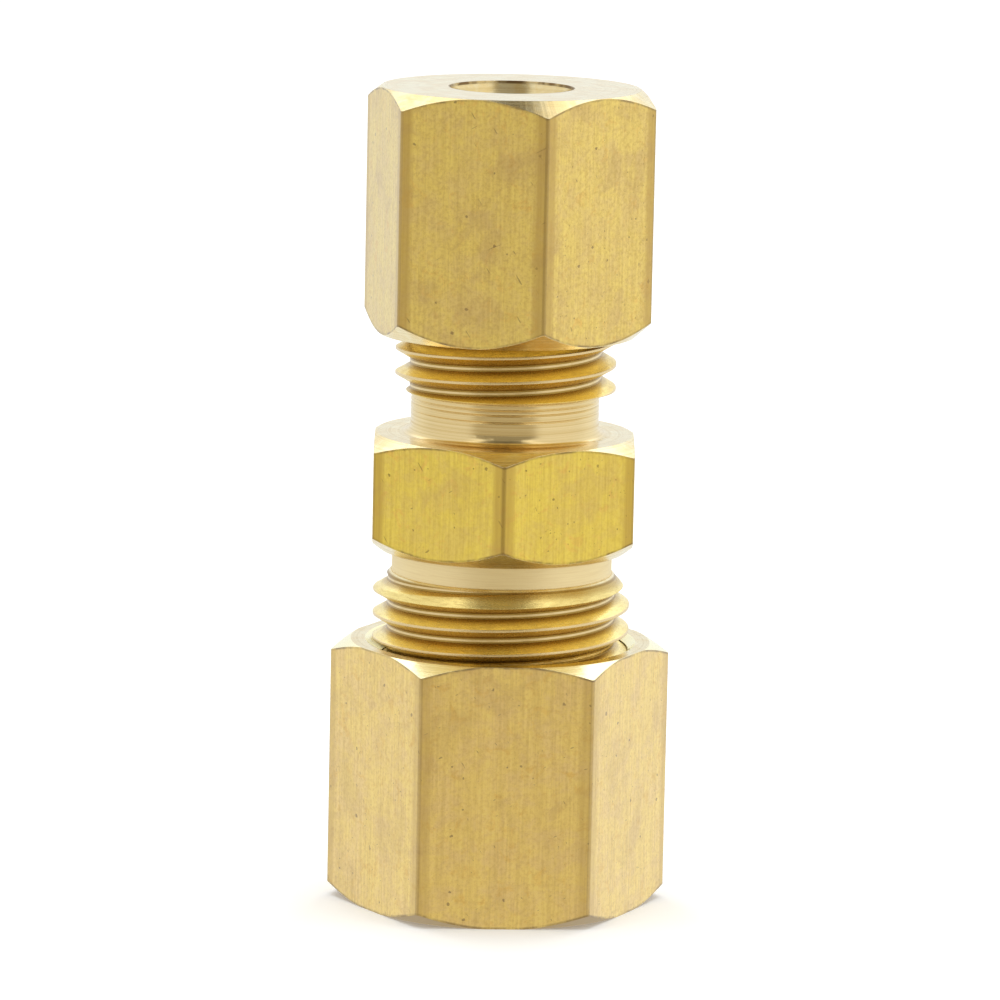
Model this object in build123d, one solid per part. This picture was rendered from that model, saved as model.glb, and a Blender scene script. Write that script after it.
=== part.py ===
from build123d import *
from dataclasses import dataclass
import math
import os

# Brass compression reducing union for 3/16 inch and 1/4 inch tube.
# Millimetres. The axis is Z. The origin is the centre of the face that the fitting stands on,
# which is the tube end of the large nut. The small nut is at the top.
# Along each end, "out" is a distance along the axis from the wrench hexagon's end face,
# measured away from the hexagon.

INCH = 25.4

# Threads: right-handed, 24 turns to the inch at both ends
PITCH = INCH / 24
FLANK_ANGLE = 30.0            # a flank's tilt from a plane square to the axis, degrees
FLANK_PLAY = 0.03             # taken off each side of a ridge and added to each side of a groove
CREST_PLAY = 0.02             # the male crest's distance below the basic major radius
GROOVE_PLAY = 0.03            # the female groove's depth beyond the basic major radius
PITCH_LINE_SHARE = 0.32476    # major radius to pitch line, in pitches
MALE_DEPTH_SHARE = 0.61343    # major radius to male root, in pitches
FEMALE_DEPTH_SHARE = 0.54127  # major radius to female crest, in pitches
ROOT_SINK = 0.06              # how far a ridge's base is buried in its core
SPARE_TURNS = 1               # turns that a thread tool runs on past the threaded length

# Wrench hexagon of the union body
BODY_ACROSS_FLATS = 7 / 16 * INCH
BODY_HEX_LOW = 15.39
BODY_HEX_LENGTH = 5.01
BODY_HEX_TURN = 0.3           # degrees from -Y towards +X, to a corner
BODY_TOP_CIRCLE = 5.53
BODY_TOP_SLOPE = 0.60
BODY_BOTTOM_CIRCLE = 5.34
BODY_BOTTOM_SLOPE = 0.76
FLOW_RADIUS = INCH / 16       # the passage between the two tube sockets
CORNER_ROUND = 0.2            # radius along the six long edges of each hexagon

# Sealing cones, shared by seats, sleeves and nuts
CONE_ANGLE = 20.0             # half angle, degrees
SEAT_GAP = 0.02               # left square to the cones when the parts meet
SEAT_WIDTH = 0.70             # radial width of a body seat
SLEEVE_WALL_AT_END = 0.20     # sleeve bore to the small end of its cone
SLEEVE_WALL = 0.55            # sleeve bore to its cylindrical outside
SLEEVE_BORE_PLAY = 0.01       # sleeve bore beyond the socket radius
TIGHTENING_TURNS = 1.0        # turns from this position to finger tight

# Nut insides
HOLE_PLAY = 0.02              # nut's tube hole beyond the socket radius
HOLE_LAND = 1.20              # length of the nut's tube hole with its flare
FLARE_LENGTH = 0.85           # tapered lead-in of the tube hole
FLARE_WIDTH = 0.19            # radial width of the lead-in
RELIEF_PLAY = 0.10            # thread relief beyond the basic major radius
RELIEF_LENGTH = 0.60
CONE_MOUTH_PLAY = 0.10        # wide end of the nut's cone beyond the sleeve's outside

# Body ends
TIP_DROP = 0.15               # the tip's end face below the thread root
TIP_CHAMFER = 0.60            # length of the tip's chamfer
OVERLAP = 0.50                # depth that neighbouring bodies of revolution share


@dataclass(frozen=True)
class End:
    """One end of the union and the nut on it."""
    name: str
    way: int                  # +1 points up, -1 points down
    hex_face: float           # height of the hexagon's end face
    thread_radius: float
    crest_height: float       # height of a ridge's middle line where it crosses the +X side
    socket_radius: float
    socket_floor: float       # out to the tube stop
    body_end: float           # out to the tip
    neck_radius: float
    neck_end: float           # out to the start of the threaded blank
    blank_start_radius: float
    blank_full: float         # out to where the blank reaches its full radius
    neck_fillet: float
    neck_rings: tuple         # out to the middle of each turning mark on the neck
    nut_across_flats: float
    nut_turn: float           # degrees from -Y towards +X, to a corner
    nut_gap: float            # out to the nut's mouth
    nut_length: float
    nut_mouth_radius: float
    mouth_circle: float       # radius of the chamfer's edge on the mouth face
    mouth_slope: float        # chamfer's fall along the axis per unit of radius
    tube_circle: float        # the same two values on the tube face
    tube_slope: float
    sleeve_on_body: bool      # the sleeve rests on the body's seat, or else in the nut


SMALL_END = End(
    name="small", way=1, hex_face=BODY_HEX_LOW + BODY_HEX_LENGTH,
    thread_radius=3 / 16 * INCH, crest_height=22.419,
    socket_radius=2.45, socket_floor=3.0, body_end=9.0,
    neck_radius=4.04, neck_end=1.75, blank_start_radius=4.04, blank_full=1.97,
    neck_fillet=0.45, neck_rings=(1.00, 1.32, 1.54),
    nut_across_flats=7 / 16 * INCH, nut_turn=-45.9, nut_gap=4.33, nut_length=10.54,
    nut_mouth_radius=4.95, mouth_circle=5.53, mouth_slope=0.90,
    tube_circle=5.53, tube_slope=0.77, sleeve_on_body=True)

LARGE_END = End(
    name="large", way=-1, hex_face=BODY_HEX_LOW,
    thread_radius=7 / 32 * INCH, crest_height=11.936,
    socket_radius=3.25, socket_floor=2.6, body_end=9.1,
    neck_radius=4.74, neck_end=1.02, blank_start_radius=4.79, blank_full=1.89,
    neck_fillet=0.0, neck_rings=(),
    nut_across_flats=INCH / 2, nut_turn=-26.9, nut_gap=4.05, nut_length=11.34,
    nut_mouth_radius=5.85, mouth_circle=6.45, mouth_slope=0.60,
    tube_circle=6.40, tube_slope=0.65, sleeve_on_body=False)

# A turning mark on the neck is a fine V groove
RING_DEPTH = 0.04
RING_HALF_WIDTH = 0.05


def height(end, out):
    """Height of a station that lies out from the hexagon's face."""
    return end.hex_face + end.way * out


def turned(end, outline):
    """Solid of revolution from (radius, out) points."""
    points = [(radius, height(end, out)) for radius, out in outline]
    face = make_face(Plane.XZ * Polyline(*points, close=True))
    return revolve(face, Axis.Z)


def flank_offset(end, radius):
    """Axial distance of a V flank from its place on the pitch line, at a radius."""
    pitch_radius = end.thread_radius - PITCH_LINE_SHARE * PITCH
    return (radius - pitch_radius) * math.tan(math.radians(FLANK_ANGLE))


def helical_ridge(profile, middle, low, high):
    """Right-hand ridge from below low to above high. The profile is two (radius, half width)
    pairs, and middle is the height of its middle line where it crosses the +X side."""
    start = middle - (math.ceil((middle - low) / PITCH) + SPARE_TURNS) * PITCH
    turns = math.ceil((high - start) / PITCH) + SPARE_TURNS
    (inner, inner_half), (outer, outer_half) = profile
    corners = [(inner, -inner_half), (outer, -outer_half), (outer, outer_half), (inner, inner_half)]
    edges = [Pos(0, 0, start + offset) * Edge.make_helix(PITCH, turns * PITCH, radius)
             for radius, offset in corners]
    faces = [Face.make_surface_from_curves(edge, edges[(index + 1) % len(edges)])
             for index, edge in enumerate(edges)]
    for along in (0, 1):
        faces.append(Face(Wire.make_polygon([edge @ along for edge in edges], close=True)))
    return Solid(Shell(faces))


def chamfered_hexagon(across_flats, turn, low, high, low_chamfer, high_chamfer):
    """Hexagonal bar with lightly rounded corners, cut by a turned chamfer at each end.
    Each chamfer is (edge circle radius, slope)."""
    corner_radius = across_flats / 2 / math.cos(math.pi / 6)
    outline = RegularPolygon(corner_radius, 6, rotation=turn - 90)
    outline = fillet(outline.vertices(), CORNER_ROUND)
    bar = extrude(Pos(0, 0, low) * outline, high - low)
    reach = corner_radius + OVERLAP
    low_rise = (reach - low_chamfer[0]) * low_chamfer[1]
    high_fall = (reach - high_chamfer[0]) * high_chamfer[1]
    points = [(0, low), (low_chamfer[0], low), (reach, low + low_rise),
              (reach, high - high_fall), (high_chamfer[0], high), (0, high)]
    blank = revolve(make_face(Plane.XZ * Polyline(*points, close=True)), Axis.Z)
    return bar & blank


def cone_run(radial_width):
    """Axial length of a sealing cone of a given radial width."""
    return radial_width / math.tan(math.radians(CONE_ANGLE))


def neck(end):
    """Plain neck with its turning marks, and its fillet against the hexagon."""
    outline = [(0, -OVERLAP), (end.neck_radius, -OVERLAP)]
    for ring in end.neck_rings:
        outline.append((end.neck_radius, ring - RING_HALF_WIDTH))
        outline.append((end.neck_radius - RING_DEPTH, ring))
        outline.append((end.neck_radius, ring + RING_HALF_WIDTH))
    outline += [(end.neck_radius, end.neck_end), (0, end.neck_end)]
    stem = turned(end, outline)
    if end.neck_fillet == 0:
        return stem
    square = Pos(end.neck_radius + end.neck_fillet / 2, height(end, end.neck_fillet / 2))
    circle = Pos(end.neck_radius + end.neck_fillet, height(end, end.neck_fillet))
    corner = square * Rectangle(end.neck_fillet, end.neck_fillet) - circle * Circle(end.neck_fillet)
    return stem + revolve(Plane.XZ * corner, Axis.Z)


def threaded_end(end):
    """Threaded length of the body with a run-out cone at the neck and a chamfered tip."""
    crest = end.thread_radius - CREST_PLAY
    root = end.thread_radius - MALE_DEPTH_SHARE * PITCH
    tip = root - TIP_DROP
    full = end.thread_radius
    blank = turned(end, [
        (0, end.neck_end), (end.blank_start_radius, end.neck_end), (full, end.blank_full),
        (full, end.body_end - TIP_CHAMFER), (tip, end.body_end), (0, end.body_end)])
    core_rod = turned(end, [
        (0, 0), (root, 0), (root, end.body_end + OVERLAP), (0, end.body_end + OVERLAP)])
    low, high = sorted((height(end, end.neck_end), height(end, end.body_end)))
    profile = [(radius, PITCH / 4 - flank_offset(end, radius) - FLANK_PLAY)
               for radius in (root - ROOT_SINK, crest)]
    ridge = helical_ridge(profile, end.crest_height, low, high)
    return (blank & core_rod) + (blank & ridge)


def socket(end):
    """Tube socket with its conical seat at the mouth, as the solid to cut away."""
    mouth = end.socket_radius + SEAT_WIDTH
    seat_start = end.body_end - cone_run(SEAT_WIDTH)
    return turned(end, [
        (0, end.socket_floor), (end.socket_radius, end.socket_floor),
        (end.socket_radius, seat_start), (mouth, end.body_end),
        (mouth, end.body_end + OVERLAP), (0, end.body_end + OVERLAP)])


def union_body():
    """Hexagon with a neck, a male thread and a tube socket at each end."""
    low = BODY_HEX_LOW
    high = BODY_HEX_LOW + BODY_HEX_LENGTH
    body = chamfered_hexagon(
        BODY_ACROSS_FLATS, BODY_HEX_TURN, low, high,
        (BODY_BOTTOM_CIRCLE, BODY_BOTTOM_SLOPE), (BODY_TOP_CIRCLE, BODY_TOP_SLOPE))
    for end in (SMALL_END, LARGE_END):
        body = body + neck(end) + threaded_end(end)
    for end in (SMALL_END, LARGE_END):
        body = body - socket(end)
    bottom = height(LARGE_END, LARGE_END.body_end)
    top = height(SMALL_END, SMALL_END.body_end)
    passage = Pos(0, 0, (bottom + top) / 2) * Cylinder(FLOW_RADIUS, top - bottom)
    return body - passage


def nut_cone_start(end):
    """Out to where the nut's tube hole opens into its cone."""
    return end.nut_gap + end.nut_length - HOLE_LAND


def female_thread(end, relief_start):
    """Helical ridge that stands inward in the nut, cut by the mouth's cone and the relief."""
    crest = end.thread_radius - FEMALE_DEPTH_SHARE * PITCH
    buried = end.thread_radius + GROOVE_PLAY + ROOT_SINK
    profile = [(radius, PITCH / 4 + flank_offset(end, radius) - FLANK_PLAY)
               for radius in (crest, buried)]
    low, high = sorted((height(end, end.nut_gap), height(end, relief_start)))
    ridge = helical_ridge(profile, end.crest_height + PITCH / 2, low, high)
    inner = crest - OVERLAP
    outer = buried + OVERLAP
    mouth_apex = end.nut_gap + end.nut_mouth_radius
    threaded_length = turned(end, [
        (inner, mouth_apex - inner), (outer, mouth_apex - outer),
        (outer, relief_start), (inner, relief_start)])
    return threaded_length & ridge


def nut(end):
    """Hexagon nut with a female thread, a thread relief, a cone and a tube hole."""
    mouth = end.nut_gap
    face = end.nut_gap + end.nut_length
    hole = end.socket_radius + HOLE_PLAY
    cone_mouth = end.socket_radius + SLEEVE_BORE_PLAY + SLEEVE_WALL + CONE_MOUTH_PLAY
    groove = end.thread_radius + GROOVE_PLAY
    relief = end.thread_radius + RELIEF_PLAY
    cone_start = nut_cone_start(end)
    cone_end = cone_start - cone_run(cone_mouth - hole)
    relief_end = cone_end - (relief - cone_mouth)
    relief_start = relief_end - RELIEF_LENGTH
    inside = turned(end, [
        (0, mouth - OVERLAP), (end.nut_mouth_radius, mouth - OVERLAP),
        (end.nut_mouth_radius, mouth), (groove, mouth + end.nut_mouth_radius - groove),
        (groove, relief_start), (relief, relief_start), (relief, relief_end),
        (cone_mouth, cone_end), (hole, cone_start), (hole, face - FLARE_LENGTH),
        (hole + FLARE_WIDTH, face), (hole + FLARE_WIDTH, face + OVERLAP),
        (0, face + OVERLAP)])
    faces = [(height(end, mouth), (end.mouth_circle, end.mouth_slope)),
             (height(end, face), (end.tube_circle, end.tube_slope))]
    (low, low_chamfer), (high, high_chamfer) = sorted(faces)
    blank = chamfered_hexagon(
        end.nut_across_flats, end.nut_turn, low, high, low_chamfer, high_chamfer)
    return (blank - inside) + female_thread(end, relief_start)


def sleeve(end):
    """Compression sleeve: a short ring with the same cone at both ends."""
    bore = end.socket_radius + SLEEVE_BORE_PLAY
    small = bore + SLEEVE_WALL_AT_END
    large = bore + SLEEVE_WALL
    hole = end.socket_radius + HOLE_PLAY
    gap = SEAT_GAP / math.sin(math.radians(CONE_ANGLE))
    travel = TIGHTENING_TURNS * PITCH
    mouth = end.socket_radius + SEAT_WIDTH
    front = end.body_end - cone_run(mouth - small) + gap
    back = nut_cone_start(end) - cone_run(small - hole) - gap
    if end.sleeve_on_body:
        back -= travel
    else:
        front += travel
    return turned(end, [
        (bore, front), (small, front), (large, front + cone_run(large - small)),
        (large, back - cone_run(large - small)), (small, back), (bore, back)])


os.makedirs("parts", exist_ok=True)
export_step(union_body(), "parts/union_body.step")
for end in (SMALL_END, LARGE_END):
    export_step(nut(end), f"parts/{end.name}_nut.step")
    export_step(sleeve(end), f"parts/{end.name}_sleeve.step")
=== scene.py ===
import math

import bpy
from mathutils import Matrix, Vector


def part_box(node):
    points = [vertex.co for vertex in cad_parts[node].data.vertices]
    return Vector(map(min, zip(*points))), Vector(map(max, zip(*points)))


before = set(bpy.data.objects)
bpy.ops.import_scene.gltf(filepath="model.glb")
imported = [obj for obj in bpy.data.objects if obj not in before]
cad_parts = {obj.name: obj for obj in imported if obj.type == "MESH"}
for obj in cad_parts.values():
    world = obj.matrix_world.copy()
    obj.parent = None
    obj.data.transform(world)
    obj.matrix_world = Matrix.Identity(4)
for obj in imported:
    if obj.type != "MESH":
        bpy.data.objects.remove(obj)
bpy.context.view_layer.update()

MM = 0.001               # one millimetre in metres; lengths are in millimetres unless they say metres
INCH = 25.4
PITCH = INCH / 24        # of both threads

# ---------- node helpers ----------

MIX_NUMBERS = (2, 3)     # the Mix node's sockets for two numbers, and for two colours
MIX_COLOURS = (6, 7)
MIXED_NUMBER = 0         # and the outputs that carry what it makes of them
MIXED_COLOUR = 2


def rgb(red, green, blue):
    return (red, green, blue, 1.0)


class Graph:
    """A node tree with short calls; an input takes a number, a colour or another node's output."""

    def __init__(self, tree):
        self.tree = tree
        tree.nodes.clear()

    def node(self, kind, inputs=(), **settings):
        made = self.tree.nodes.new(kind)
        for key, value in settings.items():
            setattr(made, key, value)
        for key, value in dict(inputs).items():
            self.feed(made.inputs[key], value)
        return made

    def feed(self, socket, value):
        if isinstance(value, bpy.types.NodeSocket):
            self.tree.links.new(value, socket)
        else:
            socket.default_value = value

    def math(self, operation, a, b=0.0, c=0.0):
        made = self.node("ShaderNodeMath", operation=operation)
        for index, value in enumerate((a, b, c)):
            self.feed(made.inputs[index], value)
        return made.outputs[0]

    def times(self, first, *others):
        for other in others:
            first = self.math("MULTIPLY", first, other)
        return first

    def plus(self, first, *others):
        for other in others:
            first = self.math("ADD", first, other)
        return first

    def minus(self, first, *others):
        for other in others:
            first = self.math("SUBTRACT", first, other)
        return first

    def size(self, value):
        """The value without its sign."""
        return self.math("ABSOLUTE", value)

    def ramp(self, value, low, high, to_low=0.0, to_high=1.0):
        """Smooth step of value from low..high to to_low..to_high."""
        made = self.node("ShaderNodeMapRange", interpolation_type="SMOOTHSTEP")
        for key, item in zip(("Value", "From Min", "From Max", "To Min", "To Max"),
                             (value, low, high, to_low, to_high)):
            self.feed(made.inputs[key], item)
        return made.outputs["Result"]

    def fade(self, value, low, high):
        """1 up to low, falling smoothly to 0 at high."""
        return self.ramp(value, low, high, 1.0, 0.0)

    def mix(self, share, first, second, blend="MIX"):
        """A colour between first and second."""
        made = self.node("ShaderNodeMix", data_type="RGBA", blend_type=blend)
        self.feed(made.inputs["Factor"], share)
        for index, value in zip(MIX_COLOURS, (first, second)):
            self.feed(made.inputs[index], value)
        return made.outputs[MIXED_COLOUR]

    def blend(self, share, first, second):
        """A number between first and second."""
        made = self.node("ShaderNodeMix", data_type="FLOAT")
        self.feed(made.inputs[0], share)
        for index, value in zip(MIX_NUMBERS, (first, second)):
            self.feed(made.inputs[index], value)
        return made.outputs[MIXED_NUMBER]

    def vector(self, operation, vector, constant):
        made = self.node("ShaderNodeVectorMath", operation=operation)
        self.feed(made.inputs[0], vector)
        made.inputs[1].default_value = constant
        return made.outputs[0]

    def scaled(self, vector, scale):
        return self.vector("MULTIPLY", vector, scale)

    def moved(self, vector, offset):
        return self.vector("ADD", vector, offset)

    def noise(self, vector, scale, detail=2.0, roughness=0.5, distortion=0.0):
        made = self.node("ShaderNodeTexNoise", {
            "Vector": vector, "Scale": scale, "Detail": detail,
            "Roughness": roughness, "Distortion": distortion})
        return made.outputs["Fac"]

    def stretched_noise(self, vector, stretch, detail, roughness):
        """Noise drawn out along an axis: stretch is its scale along x, y and z."""
        return self.noise(self.scaled(vector, stretch), 1.0, detail, roughness)

    def show(self, shader, output_kind):
        """Joins a shader's output to the tree's own output."""
        self.tree.links.new(shader, self.node(output_kind).inputs["Surface"])


# ---------- brass colours ----------

FLAT_GOLD = rgb(0.96, 0.75, 0.19)
FLAT_TAN = rgb(0.90, 0.685, 0.225)
FLAT_ORANGE = rgb(0.92, 0.61, 0.14)
STAIN = rgb(0.68, 0.47, 0.18)
EDGE_BROWN = rgb(0.54, 0.34, 0.07)
SPECK_BROWN = rgb(0.22, 0.13, 0.05)
TURNED_PALE = rgb(0.91, 0.79, 0.49)
TURNED_GOLD = rgb(0.86, 0.68, 0.34)
THREAD_AMBER = rgb(0.92, 0.70, 0.22)
THREAD_YELLOW = rgb(0.97, 0.78, 0.30)
# Dark for the streaks on the threads, and painted shade low on the flanks.
THREAD_STREAKS_AND_SHADE = rgb(0.58, 0.40, 0.12)
# Painted shade in the thread's root.
PAINTED_ROOT_SHADE = rgb(0.36, 0.22, 0.05)
# Painted highlight along the thread's crest and along the middle of its root.
PAINTED_THREAD_HIGHLIGHT = rgb(0.80, 0.62, 0.33)
# Painted shade on the large nut's bottom chamfer, standing in for the shadowed floor it reflects.
PAINTED_FOOT_SHADE = rgb(0.44, 0.30, 0.12)
# Painted highlight: a paler brass for the large nut's top chamfer.
PAINTED_MOUTH_HIGHLIGHT = rgb(1.0, 0.92, 0.58)
NECK_PALE = rgb(0.93, 0.77, 0.44)
NECK_GOLD = rgb(0.83, 0.66, 0.35)

# ---------- brass patterns ----------
# A pattern is a noise's scale (per millimetre), detail, roughness and, where it has one, distortion. A
# stretched one is its scale along x, y and z, then detail and roughness. A band says what a pattern turns
# into: its low and high value and, unless they are 0 and 1, what it gives at each.

SEED_STEP = (1.0, 1.7, 0.6)              # a seed shifts the patterns this way

PATINA, PATINA_BAND = (1.1, 3.0, 0.6, 0.5), (0.35, 0.65)
RINGS, RINGS_BROWN = (7.0, 3.0, 0.7), (0.30, 0.60, 0.28, 0.0)
FINE_RINGS, FINE_DULLNESS = (26.0, 2.0, 0.6), (0.30, 0.70, 0.24, 0.15)
RINGS_RELIEF, FINE_RELIEF = 0.6, 0.25
CHATTER = (1.0, 2.0, 0.6)
CHATTER_PER_RADIAN = 26.0
CHATTER_RELIEF = 1.1
CONE_DULLNESS = 0.04

# How upright a surface's normal is, from 0 on a wall to 1 on a flat end.
WALL = (0.20, 0.35)
CONE_FROM, CHAMFER_FROM = (0.55, 0.70), (0.60, 0.70)
CONE_TO = (0.93, 0.98)

GRAIN, GRAIN_BROWN, GRAIN_RELIEF = ((9.0, 9.0, 0.35), 3.0, 0.6), (0.30, 0.66, 0.26, 0.0), 0.55
STREAK, STREAK_RELIEF = ((3.2, 3.2, 0.10), 2.0, 0.55), 0.6
MOTTLE, MOTTLE_RELIEF = (6.5, 6.0, 0.75), 0.5
MOTTLE_SPOTS = (0.34, 0.58)
MOTTLE_DULLNESS = (0.30, 0.70, 0.60, 0.48)
# Patches of the darker brown near the corners of the flats.
MOTTLE_CORNER_PATCHES = (0.25, 0.6, 0.6, 1.0)
CLOUDS, CLOUD_GOLD, CLOUD_BURR = (0.8, 8.0, 0.72, 0.3), (0.36, 0.60), (0.38, 0.60, 1.0, 0.2)
WARMTH, WARMTH_ORANGE = (1.5, 4.0, 0.65, 0.8), (0.53, 0.72, 0.0, 0.75)
STAINS, STAIN_BAND = (0.42, 6.0, 0.66, 0.6), (0.50, 0.66)

WOBBLE_SCALE, WOBBLE_DETAIL, WOBBLE_REACH = 9.0, 2.0, 0.12
SPECK_SCALE = 1.7
SPECK_RADIUS = (0.40, 1.0, 0.0, 0.13)    # most cells have none and the last few a full one
SPECK_DARKNESS, NICK_DARKNESS = 0.6, 0.55
SPECK_DEPTH, NICK_DEPTH = 1.5, 1.5

SCRATCH_WAYS = ((0.6, 0.0), (-1.1, 40.0))    # turn in radians and shift of the pattern
SCRATCH_AXIS = (0.35, 0.9, 0.2)
SCRATCH_STRETCH = (11.0, 11.0, 0.8)
SCRATCH_BAND = (0.83, 0.86)

# Places on a flat, in millimetres inward from its middle or from the corner between two flats.
FLAT_STARTS = (0.03, 0.01)
# Where the flats turn darker brown towards each corner.
CORNER_BROWN_INSETS = (0.30, 0.16)
CORNER_LINE, CORNER_LINE_DARKNESS = (0.065, 0.04), 0.30
BURR_WIDTH, BURR_DARKNESS = (0.03, 0.12), 0.75

RIM_LINE, RIM_REACH, RIM_DULLNESS = (0.02, 0.06), 0.12, 0.4
RIM_PATCHES, RIM_BAND = (1.3, 3.0, 0.6), (0.38, 0.60, 0.25, 0.95)

THREAD_STREAKS = ((2.2, 2.2, 14.0), 4.0, 0.7)
THREAD_STREAKS_DARK = (0.30, 0.60, 0.35, 0.0)
THREAD_DULLNESS = (0.30, 0.70, 0.34, 0.22)
THREAD_RELIEF = 1.2
THREAD_BLUR = 0.05
THREAD_STARTS = (0.12, 0.04)             # inward from the root
THREAD_VALLEY = (0.01, 0.05)             # outward from the root
THREAD_CREST = (0.07, 0.01)              # inward from the crest
THREAD_LINE = (0.03, 0.055)              # in turns from the middle of the root
# Painted shade on the flank below this share of its height.
FLANK_SHADE_SHARE = 0.5                   # of the thread's height

MATTE_LINES, MATTE_STAIN = ((0.5, 0.5, 22.0), 3.0, 0.7), (0.3, 0.6, 0.22, 0.0)
MATTE_DULLNESS, MATTE_EDGE = 0.48, 0.02
POLISHED_LINES, POLISHED_BROWN = ((0.02, 0.02, 9.0), 3.0, 0.7), (0.30, 0.62, 0.50, 0.0)
POLISHED_DULLNESS, POLISHED_EDGE, POLISHED_RELIEF = 0.20, 0.3, 0.3

EDGE_ROUNDING, EDGE_SAMPLES = 0.06, 6
BUMP_STRENGTH, BUMP_HEIGHT = 0.40, 0.012

# ---------- brass ----------


class Brass:
    """Brass cut from hexagon bar. Drawn flats carry grain, stains and specks; turned surfaces
    carry tool marks. Every pattern is fixed to the piece."""

    def __init__(self, name, seed):
        self.material = bpy.data.materials.new(name)
        self.material.use_nodes = True
        self.g = g = Graph(self.material.node_tree)
        coordinates = g.node("ShaderNodeTexCoord")
        self.place = g.scaled(coordinates.outputs["Object"], (1 / MM,) * 3)
        self.seeded = g.moved(self.place, tuple(seed * step for step in SEED_STEP))
        self.seed = seed
        self.film = 0.0
        self.x, self.y, self.z = g.node("ShaderNodeSeparateXYZ", {"Vector": self.place}).outputs
        normal = g.node("ShaderNodeSeparateXYZ", {"Vector": coordinates.outputs["Normal"]})
        self.steep = g.size(normal.outputs["Z"])
        self.radius = g.math("SQRT", g.plus(g.times(self.x, self.x), g.times(self.y, self.y)))
        self.angle = g.math("ARCTAN2", self.y, self.x)
        self.turned()

    def between(self, low, high, blur=0.02):
        """1 where z lies between low and high."""
        g = self.g
        return g.times(g.ramp(self.z, low - blur, low + blur), g.fade(self.z, high - blur, high + blur))

    def sloped(self, start):
        """1 on chamfers and cones."""
        return self.g.times(self.g.ramp(self.steep, *start), self.g.fade(self.steep, *CONE_TO))

    def lay(self, mask, colour, roughness, relief=None):
        """Puts a finish over the one beneath, where mask is 1."""
        g = self.g
        self.colour = g.mix(mask, self.colour, colour)
        self.roughness = g.blend(mask, self.roughness, roughness)
        if relief is not None:
            self.relief = g.blend(mask, self.relief, relief)

    def turned(self):
        """Concentric tool marks on faces and cones, rings on cylinders, a little patina."""
        g = self.g
        profile = g.node("ShaderNodeCombineXYZ", {"X": self.radius, "Y": self.z, "Z": self.seed}).outputs[0]
        rings = g.noise(profile, *RINGS)
        fine = g.noise(profile, *FINE_RINGS)
        patina = g.noise(self.seeded, *PATINA)
        around = g.node("ShaderNodeCombineXYZ", {
            "X": g.times(self.angle, CHATTER_PER_RADIAN), "Y": self.seed}).outputs[0]
        chatter = g.noise(around, *CHATTER)
        cone = self.sloped(CONE_FROM)
        colour = g.mix(g.ramp(patina, *PATINA_BAND), TURNED_PALE, TURNED_GOLD)
        self.colour = g.mix(g.ramp(rings, *RINGS_BROWN), colour, EDGE_BROWN)
        self.roughness = g.plus(g.ramp(fine, *FINE_DULLNESS), g.times(cone, CONE_DULLNESS))
        self.relief = g.plus(g.times(rings, RINGS_RELIEF), g.times(fine, FINE_RELIEF),
                             g.times(chatter, cone, CHATTER_RELIEF))

    def flats(self, low, high, look):
        """The six drawn flats between low and high, darker brown near the corners, and with a burr at each
        chamfer.
        """
        g = self.g
        inner = look["across"] / 2
        corner = inner / math.cos(math.pi / 6)
        outside = g.ramp(self.radius, *(inner - inset for inset in FLAT_STARTS))
        mask = g.times(outside, g.fade(self.steep, *WALL), self.between(low, high))

        grain = g.stretched_noise(self.seeded, *GRAIN)
        streak = g.stretched_noise(self.seeded, *STREAK)
        mottle = g.noise(self.seeded, *MOTTLE)
        clouds = g.noise(self.seeded, *CLOUDS)
        speck = self.specks()
        nick = self.scratches()
        colour = self.flat_colour(grain, mottle, clouds, look)
        colour = g.mix(g.times(speck, SPECK_DARKNESS), colour, SPECK_BROWN)
        colour = g.mix(g.times(nick, NICK_DARKNESS), colour, SPECK_BROWN)

        # The flats turn darker brown in patches near each corner, with a darker line at the corner itself.
        near_corner = g.ramp(self.radius, *(corner - inset for inset in CORNER_BROWN_INSETS), 0.0, look["corner_brown"])
        colour = g.mix(g.times(near_corner, g.ramp(mottle, *MOTTLE_CORNER_PATCHES)), colour, EDGE_BROWN)
        line = g.ramp(self.radius, *(corner - inset for inset in CORNER_LINE), 0.0, CORNER_LINE_DARKNESS)
        colour = g.mix(line, colour, SPECK_BROWN)
        for face, chamfer, inward in ((low, look["low_chamfer"], -1.0), (high, look["high_chamfer"], 1.0)):
            burr = g.times(self.chamfer_edge(face, chamfer, inward), g.ramp(clouds, *CLOUD_BURR))
            colour = g.mix(g.times(burr, BURR_DARKNESS), colour, SPECK_BROWN)

        relief = g.plus(g.times(grain, GRAIN_RELIEF), g.times(mottle, MOTTLE_RELIEF),
                        g.times(streak, STREAK_RELIEF))
        relief = g.minus(relief, g.times(speck, SPECK_DEPTH), g.times(nick, NICK_DEPTH))
        self.lay(mask, colour, g.ramp(mottle, *MOTTLE_DULLNESS), relief)
        self.film = g.times(mask, look["film"])

    def flat_colour(self, grain, mottle, clouds, look):
        """Gold and tan clouds in the piece's own tone, with warmer areas, stains, grain and fine spots."""
        g = self.g
        warmth = g.noise(self.seeded, *WARMTH)
        stain = g.noise(self.seeded, *STAINS)
        colour = g.mix(g.ramp(clouds, *CLOUD_GOLD), FLAT_TAN, FLAT_GOLD)
        colour = g.mix(1.0, colour, look["tone"], "MULTIPLY")
        colour = g.mix(g.ramp(warmth, *WARMTH_ORANGE), colour, FLAT_ORANGE)
        colour = g.mix(g.ramp(stain, *STAIN_BAND, 0.0, look["stained"]), colour, STAIN)
        colour = g.mix(g.ramp(grain, *GRAIN_BROWN), colour, EDGE_BROWN)
        return g.mix(g.ramp(mottle, *MOTTLE_SPOTS, look["spotted"], 0.0), colour, EDGE_BROWN)

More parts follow.
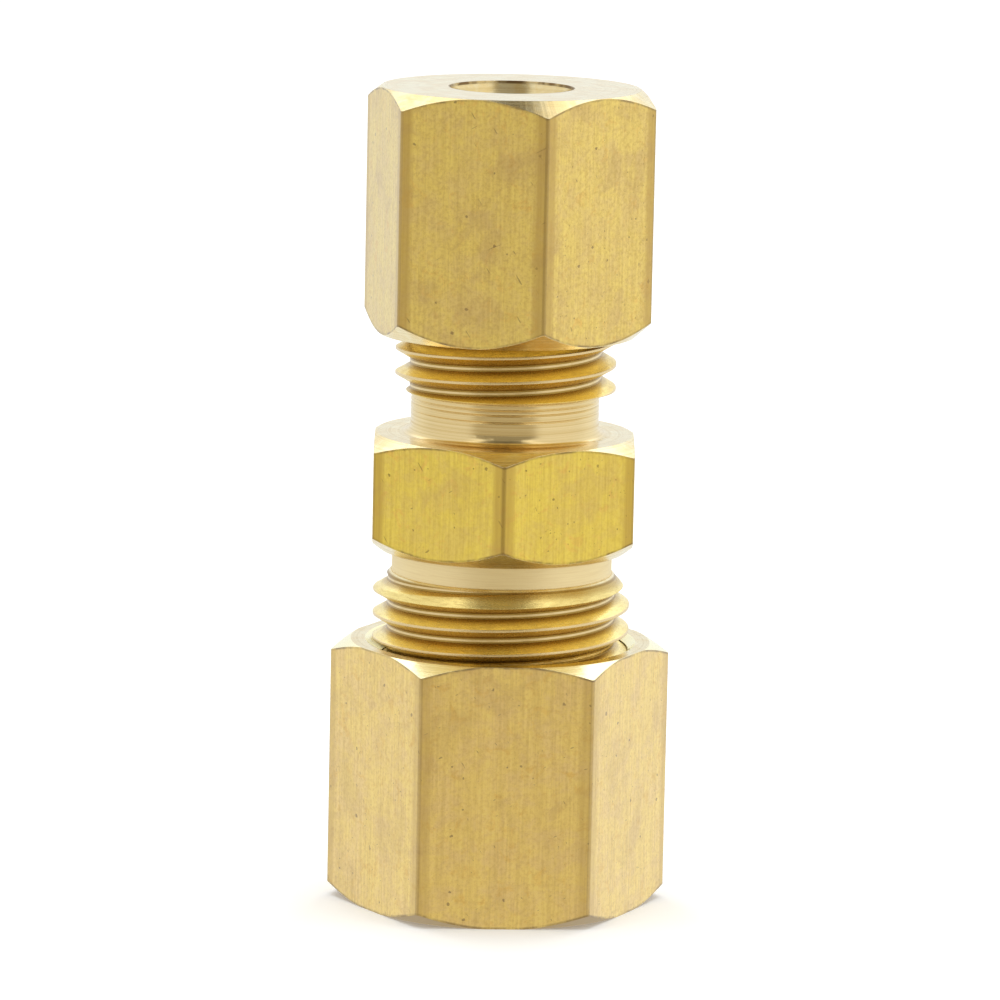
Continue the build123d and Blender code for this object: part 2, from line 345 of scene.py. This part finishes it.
    def specks(self):
        """Small dark pits, not quite round, in some cells of a cell pattern."""
        g = self.g
        wobble = g.node("ShaderNodeTexNoise", {
            "Vector": self.seeded, "Scale": WOBBLE_SCALE, "Detail": WOBBLE_DETAIL})
        bent = g.node("ShaderNodeVectorMath", operation="MULTIPLY_ADD")
        g.feed(bent.inputs[0], wobble.outputs["Color"])
        bent.inputs[1].default_value = (WOBBLE_REACH,) * 3
        g.feed(bent.inputs[2], self.seeded)
        cells = g.node("ShaderNodeTexVoronoi", {"Vector": bent.outputs[0], "Scale": SPECK_SCALE})
        pick = g.node("ShaderNodeSeparateColor", {"Color": cells.outputs["Color"]}).outputs[0]
        return g.math("LESS_THAN", cells.outputs["Distance"], g.ramp(pick, *SPECK_RADIUS))

    def scratches(self):
        """A few short fine scratches in two directions."""
        g = self.g
        found = 0.0
        for tilt, shift in SCRATCH_WAYS:
            turned = g.node("ShaderNodeVectorRotate", {"Vector": self.seeded, "Angle": tilt},
                            rotation_type="AXIS_ANGLE")
            turned.inputs["Axis"].default_value = SCRATCH_AXIS
            place = g.moved(g.scaled(turned.outputs[0], SCRATCH_STRETCH), (shift,) * 3)
            found = g.math("MAXIMUM", found, g.ramp(g.noise(place, 1.0, 0.0, 0.0), *SCRATCH_BAND))
        return found

    def chamfer_edge(self, face, chamfer, inward):
        """1 along the curved edge where a chamfer meets the flats. The chamfer is a cone given by its
        circle on the end face and its fall per millimetre of radius beyond it."""
        g = self.g
        circle, slope = chamfer
        fall = g.times(g.math("MAXIMUM", g.minus(self.radius, circle), 0.0), slope)
        depth = g.minus(g.times(g.minus(face, self.z), inward), fall)
        return g.fade(depth, *BURR_WIDTH)

    def hole_rim(self, face, rim):
        """Brown line round the edge of the tube hole on a nut's end face."""
        g = self.g
        ring = g.fade(g.size(g.minus(self.radius, rim)), *RIM_LINE)
        patchy = g.ramp(g.noise(self.seeded, *RIM_PATCHES), *RIM_BAND)
        mask = g.times(ring, patchy, self.between(face - RIM_REACH, face + RIM_REACH))
        self.lay(mask, SPECK_BROWN, RIM_DULLNESS)

    def chamfer_finish(self, low, high, colour, roughness):
        """A finish of its own for the chamfer between low and high."""
        mask = self.g.times(self.between(low, high), self.sloped(CHAMFER_FROM))
        self.lay(mask, colour, roughness)

    def thread(self, low, high, root, crest, middle, flank):
        """Coloured flanks darkened towards the root by painted shade, painted shade in the root with a fine
        painted highlight line along it, and a painted highlight along the crest.
        The helix has its ridge's middle line at height middle on the +X side."""
        g = self.g
        mask = g.times(self.between(low, high, THREAD_BLUR),
                       g.ramp(self.radius, *(root - inset for inset in THREAD_STARTS)))
        height = g.ramp(self.radius, root, crest)
        streaks = g.stretched_noise(self.seeded, *THREAD_STREAKS)
        # Painted shade: the flank turns darker towards the root.
        colour = g.mix(g.ramp(height, 0.0, FLANK_SHADE_SHARE), THREAD_STREAKS_AND_SHADE, flank)
        turn = g.math("DIVIDE", self.angle, 2 * math.pi)
        climb = g.minus(g.math("DIVIDE", g.minus(self.z, middle), PITCH), turn)
        off_root = g.size(g.minus(g.math("FRACT", climb), 0.5))
        # Painted shade in the root.
        valley = g.fade(self.radius, *(root + outset for outset in THREAD_VALLEY))
        colour = g.mix(valley, colour, PAINTED_ROOT_SHADE)
        # Painted highlight: a fine pale line along the middle of the root.
        colour = g.mix(g.times(g.fade(off_root, *THREAD_LINE), valley), colour, PAINTED_THREAD_HIGHLIGHT)
        colour = g.mix(g.ramp(streaks, *THREAD_STREAKS_DARK), colour, THREAD_STREAKS_AND_SHADE)
        # Painted highlight along the crest.
        crest_highlight = g.ramp(self.radius, *(crest - inset for inset in THREAD_CREST))
        colour = g.mix(crest_highlight, colour, PAINTED_THREAD_HIGHLIGHT)
        self.lay(mask, colour, g.ramp(streaks, *THREAD_DULLNESS), g.times(streaks, THREAD_RELIEF))

    def matte_neck(self, low, high, largest):
        """Neck left by a broad tool: pale, fine-ringed and matte."""
        g = self.g
        mask = g.times(self.between(low, high), g.fade(self.radius, largest, largest + MATTE_EDGE))
        lines = g.stretched_noise(self.seeded, *MATTE_LINES)
        colour = g.mix(g.ramp(lines, *MATTE_STAIN), NECK_PALE, STAIN)
        self.lay(mask, colour, MATTE_DULLNESS, lines)

    def polished_neck(self, low, high, largest):
        """Neck left bright by a narrow tool, browner than the faces."""
        g = self.g
        mask = g.times(self.between(low, high), g.fade(self.radius, largest, largest + POLISHED_EDGE))
        lines = g.stretched_noise(self.seeded, *POLISHED_LINES)
        colour = g.mix(g.ramp(lines, *POLISHED_BROWN), NECK_GOLD, EDGE_BROWN)
        self.lay(mask, colour, POLISHED_DULLNESS, g.times(lines, POLISHED_RELIEF))

    def finish(self):
        """Joins the finishes to the shader, with slightly rounded edges."""
        g = self.g
        bevel = g.node("ShaderNodeBevel", {"Radius": EDGE_ROUNDING * MM}, samples=EDGE_SAMPLES)
        bump = g.node("ShaderNodeBump", {
            "Strength": BUMP_STRENGTH, "Distance": BUMP_HEIGHT * MM, "Height": self.relief,
            "Normal": bevel.outputs[0]})
        shader = g.node("ShaderNodeBsdfPrincipled", {
            "Base Color": self.colour, "Metallic": 1.0, "Roughness": self.roughness,
            "Coat Weight": self.film, "Coat Roughness": 0.25, "Coat IOR": 1.6, "Normal": bump.outputs[0]})
        g.show(shader.outputs[0], "ShaderNodeOutputMaterial")
        return self.material


def dress(node, material):
    """Gives a CAD node its material."""
    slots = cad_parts[node].data.materials
    slots.clear()
    slots.append(material)


# ---------- the five pieces ----------
# A look's chamfers are each a circle on the end face and a fall per millimetre of radius beyond it. Its
# share of darker brown near the corners, and its film, spotted and stained, are shares from 0 to 1, and its
# tone multiplies the flats' colours.

BODY_SEED = 3.0
BODY_LOOK = {
    "across": 7 / 16 * INCH, "low_chamfer": (5.34, 0.76), "high_chamfer": (5.53, 0.60),
    "corner_brown": 0.6, "film": 0.15, "tone": rgb(0.99, 1.0, 0.74), "spotted": 0.14, "stained": 0.3}
BODY_HEX = (15.39, 20.40)                # bottom and top

# Each thread: bottom, top, root radius, crest radius, height of the ridge on the +X side.
UPPER_THREAD = (22.15, 29.5, 4.11, 4.74, 22.419)
LOWER_THREAD = (6.2, 14.30, 4.91, 5.54, 11.936)

# Each neck: bottom, top, largest radius.
UPPER_NECK = (20.4, 22.2, 4.3)
LOWER_NECK = (14.36, 15.39, 4.77)

SMALL_NUT_SEED = 11.0
SMALL_NUT_RIM = 2.66                     # radius of the line round its tube hole
SMALL_NUT_LOOK = {
    "across": 7 / 16 * INCH, "low_chamfer": (5.53, 0.90), "high_chamfer": (5.53, 0.77),
    "corner_brown": 0.6, "film": 0.8, "tone": rgb(1.0, 0.99, 1.0), "spotted": 0.34, "stained": 0.5}

LARGE_NUT_SEED = 23.0
LARGE_NUT_RIM = 3.46
LARGE_NUT_LOOK = {
    "across": INCH / 2, "low_chamfer": (6.40, 0.65), "high_chamfer": (6.45, 0.60),
    "corner_brown": 0.35, "film": 1.0, "tone": rgb(1.08, 1.05, 1.25), "spotted": 0.26, "stained": 0.3}
CHAMFER_REACH = 0.9                      # height at each end of the large nut that its chamfer stays within
# Roughness of the painted shade on the large nut's bottom chamfer.
PAINTED_FOOT_SHADE_DULLNESS = 0.42
MOUTH_DULLNESS = 0.20

SLEEVE_SEEDS = {"small_sleeve": 31.0, "large_sleeve": 37.0}


def body_brass():
    brass = Brass("union_body", BODY_SEED)
    brass.flats(*BODY_HEX, BODY_LOOK)
    brass.thread(*UPPER_THREAD, THREAD_AMBER)
    brass.thread(*LOWER_THREAD, THREAD_YELLOW)
    brass.polished_neck(*UPPER_NECK)
    brass.matte_neck(*LOWER_NECK)
    dress("union_body", brass.finish())


def nut_brass(node, seed, look, rim):
    """A nut's flats and hole rims, and the heights of its two ends."""
    low, high = (corner.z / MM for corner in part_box(node))
    brass = Brass(node, seed)
    brass.flats(low, high, look)
    for face in (low, high):
        brass.hole_rim(face, rim)
    return brass, low, high


def small_nut_brass():
    brass, _, _ = nut_brass("small_nut", SMALL_NUT_SEED, SMALL_NUT_LOOK, SMALL_NUT_RIM)
    dress("small_nut", brass.finish())


def large_nut_brass():
    """The lower nut, with painted shade on the chamfer round its foot and a painted highlight on the
    chamfer round its mouth.
    """
    brass, low, high = nut_brass("large_nut", LARGE_NUT_SEED, LARGE_NUT_LOOK, LARGE_NUT_RIM)
    # Painted shade: a dark colour on the bottom chamfer in place of the shadowed floor it reflects.
    brass.chamfer_finish(low, low + CHAMFER_REACH, PAINTED_FOOT_SHADE, PAINTED_FOOT_SHADE_DULLNESS)
    # Painted highlight: a paler colour on the top chamfer stands in for the bright reflection it catches.
    brass.chamfer_finish(high - CHAMFER_REACH, high, PAINTED_MOUTH_HIGHLIGHT, MOUTH_DULLNESS)
    dress("large_nut", brass.finish())


body_brass()
small_nut_brass()
large_nut_brass()
for sleeve, sleeve_seed in SLEEVE_SEEDS.items():
    dress(sleeve, Brass(sleeve, sleeve_seed).finish())

# ---------- studio ----------
# The tent is described by the direction that light comes from: x to the right, y to the back, z up.

OPENING = (-0.84, -0.70)                 # y: the front opening, and where the tent starts
OVERHEAD = (0.30, 0.55)                  # z: where the roof starts
SLIT_HALF_WIDTH = (-0.05, 0.25, 0.32, 0.13)  # y, and x there: wide in front, narrow at the back
SLIT_BLUR = 0.05
SLIT_LEVEL = 0.19
SIDE_LEVEL = (-0.2, 0.8, 0.90, 0.98)     # x, and the level there
BACK_LEVEL = (0.2, 0.6, 0.0, 0.10)       # y, and the level added there
STRIP_INNER, STRIP_OUTER = (0.0, 0.1), (0.40, 0.60)  # x past the slit, and x
STRIP_LEVEL = 0.55
FRONT_LEVEL = (-0.42, 0.02, 1.0, 0.36)   # z, and the level there
BOX_FRONT, BOX_BACK = (0.28, 0.40), (0.60, 0.75)  # y of the two soft boxes overhead
BOX_INNER, BOX_OUTER = (0.16, 0.24), (0.34, 0.44)  # and their x
BOX_LEVEL = 0.5
WARM_TO_COOL = (-0.2, 0.9)               # y
FRONT_WARM = rgb(1.0, 0.99, 0.95)
BACK_COOL = rgb(0.97, 1.01, 1.04)
DIM_AMBER = rgb(1.0, 0.92, 0.74)
WHITE = rgb(1.0, 1.0, 1.0)

FLOOR_HALF = 0.6                         # metres
FLOOR_COLOUR = rgb(0.93, 0.935, 0.94)
FLOOR_ROUGHNESS = 0.9
FLOOR_GLOW = 0.13

LIGHT_SIZE = 0.35                        # metres
LIGHT_POWER = 0.9                        # watts
LIGHT_PLACE = (0.0, 0.05, 0.40)          # metres

CAMERA_AWAY = 266.7                      # in front of the axis
CAMERA_HEIGHT = 62.96                    # above the table
CAMERA_PITCH = 9.687                     # degrees below level
CAMERA_YAW = 0.028                       # degrees
CAMERA_ROLL = 1.197                      # degrees
CAMERA_LENS = 226.3
CAMERA_SENSOR = 36.0
CAMERA_CLIP = (0.01, 10.0)               # metres


def studio_world():
    """A light tent: bright sides, top and back, dimmer towards the front opening and a slit overhead."""
    world = bpy.data.worlds.new("light_tent")
    bpy.context.scene.world = world
    world.use_nodes = True
    g = Graph(world.node_tree)
    direction = g.node("ShaderNodeTexCoord").outputs["Generated"]
    x, y, z = g.node("ShaderNodeSeparateXYZ", {"Vector": direction}).outputs
    off_centre = g.size(x)
    opening = g.fade(y, *OPENING)
    overhead = g.ramp(z, *OVERHEAD)
    past_slit = g.minus(off_centre, g.ramp(y, *SLIT_HALF_WIDTH))
    slit = g.times(g.fade(past_slit, -SLIT_BLUR, SLIT_BLUR), overhead)

    side = g.plus(g.ramp(x, *SIDE_LEVEL), g.ramp(y, *BACK_LEVEL))
    strip = g.times(g.ramp(past_slit, *STRIP_INNER), g.fade(off_centre, *STRIP_OUTER))
    side = g.plus(side, g.times(strip, overhead, STRIP_LEVEL))
    box = g.times(g.ramp(y, *BOX_FRONT), g.fade(y, *BOX_BACK))
    box = g.times(box, g.times(g.ramp(off_centre, *BOX_INNER), overhead), g.fade(off_centre, *BOX_OUTER))
    side = g.plus(side, g.times(box, BOX_LEVEL))

    front = g.ramp(z, *FRONT_LEVEL)
    level = g.blend(opening, g.blend(slit, side, SLIT_LEVEL), front)
    colour = g.mix(g.ramp(y, *WARM_TO_COOL), FRONT_WARM, BACK_COOL)
    colour = g.mix(g.math("MAXIMUM", opening, slit), colour, DIM_AMBER)
    tent = g.node("ShaderNodeBackground", {"Color": colour, "Strength": level})
    backdrop = g.node("ShaderNodeBackground", {"Color": WHITE, "Strength": 1.0})
    seen = g.node("ShaderNodeLightPath").outputs["Is Camera Ray"]
    both = g.node("ShaderNodeMixShader", {0: seen, 1: tent.outputs[0], 2: backdrop.outputs[0]})
    g.show(both.outputs[0], "ShaderNodeOutputWorld")


def floor():
    """Plain white table top."""
    mesh = bpy.data.meshes.new("floor")
    corners = [(x * FLOOR_HALF, y * FLOOR_HALF, 0) for x, y in ((-1, -1), (1, -1), (1, 1), (-1, 1))]
    mesh.from_pydata(corners, [], [(0, 1, 2, 3)])
    table = bpy.data.objects.new("floor", mesh)
    bpy.context.scene.collection.objects.link(table)
    material = bpy.data.materials.new("white_table")
    material.use_nodes = True
    g = Graph(material.node_tree)
    shader = g.node("ShaderNodeBsdfPrincipled", {
        "Base Color": FLOOR_COLOUR, "Roughness": FLOOR_ROUGHNESS,
        "Emission Color": WHITE, "Emission Strength": FLOOR_GLOW})
    g.show(shader.outputs[0], "ShaderNodeOutputMaterial")
    mesh.materials.append(material)
    table.visible_glossy = False


def overhead_light():
    """Soft overhead light for the shadow under the fitting."""
    data = bpy.data.lights.new("overhead", "AREA")
    data.shape = "SQUARE"
    data.size = LIGHT_SIZE
    data.energy = LIGHT_POWER
    light = bpy.data.objects.new("overhead", data)
    light.location = LIGHT_PLACE
    light.visible_glossy = False
    bpy.context.scene.collection.objects.link(light)


def camera():
    """Long lens, a little above the fitting, rolled by about a degree."""
    data = bpy.data.cameras.new("camera")
    data.sensor_width = CAMERA_SENSOR
    data.lens = CAMERA_LENS
    data.clip_start, data.clip_end = CAMERA_CLIP
    eye = bpy.data.objects.new("camera", data)
    turn = Matrix.Rotation(math.radians(CAMERA_YAW), 4, "Z")
    turn = turn @ Matrix.Rotation(math.radians(90 - CAMERA_PITCH), 4, "X")
    turn = turn @ Matrix.Rotation(math.radians(CAMERA_ROLL), 4, "Z")
    eye.matrix_world = Matrix.Translation((0.0, -CAMERA_AWAY * MM, CAMERA_HEIGHT * MM)) @ turn
    bpy.context.scene.collection.objects.link(eye)
    bpy.context.scene.camera = eye


studio_world()
floor()
overhead_light()
camera()
bpy.context.scene.view_settings.view_transform = "Standard"
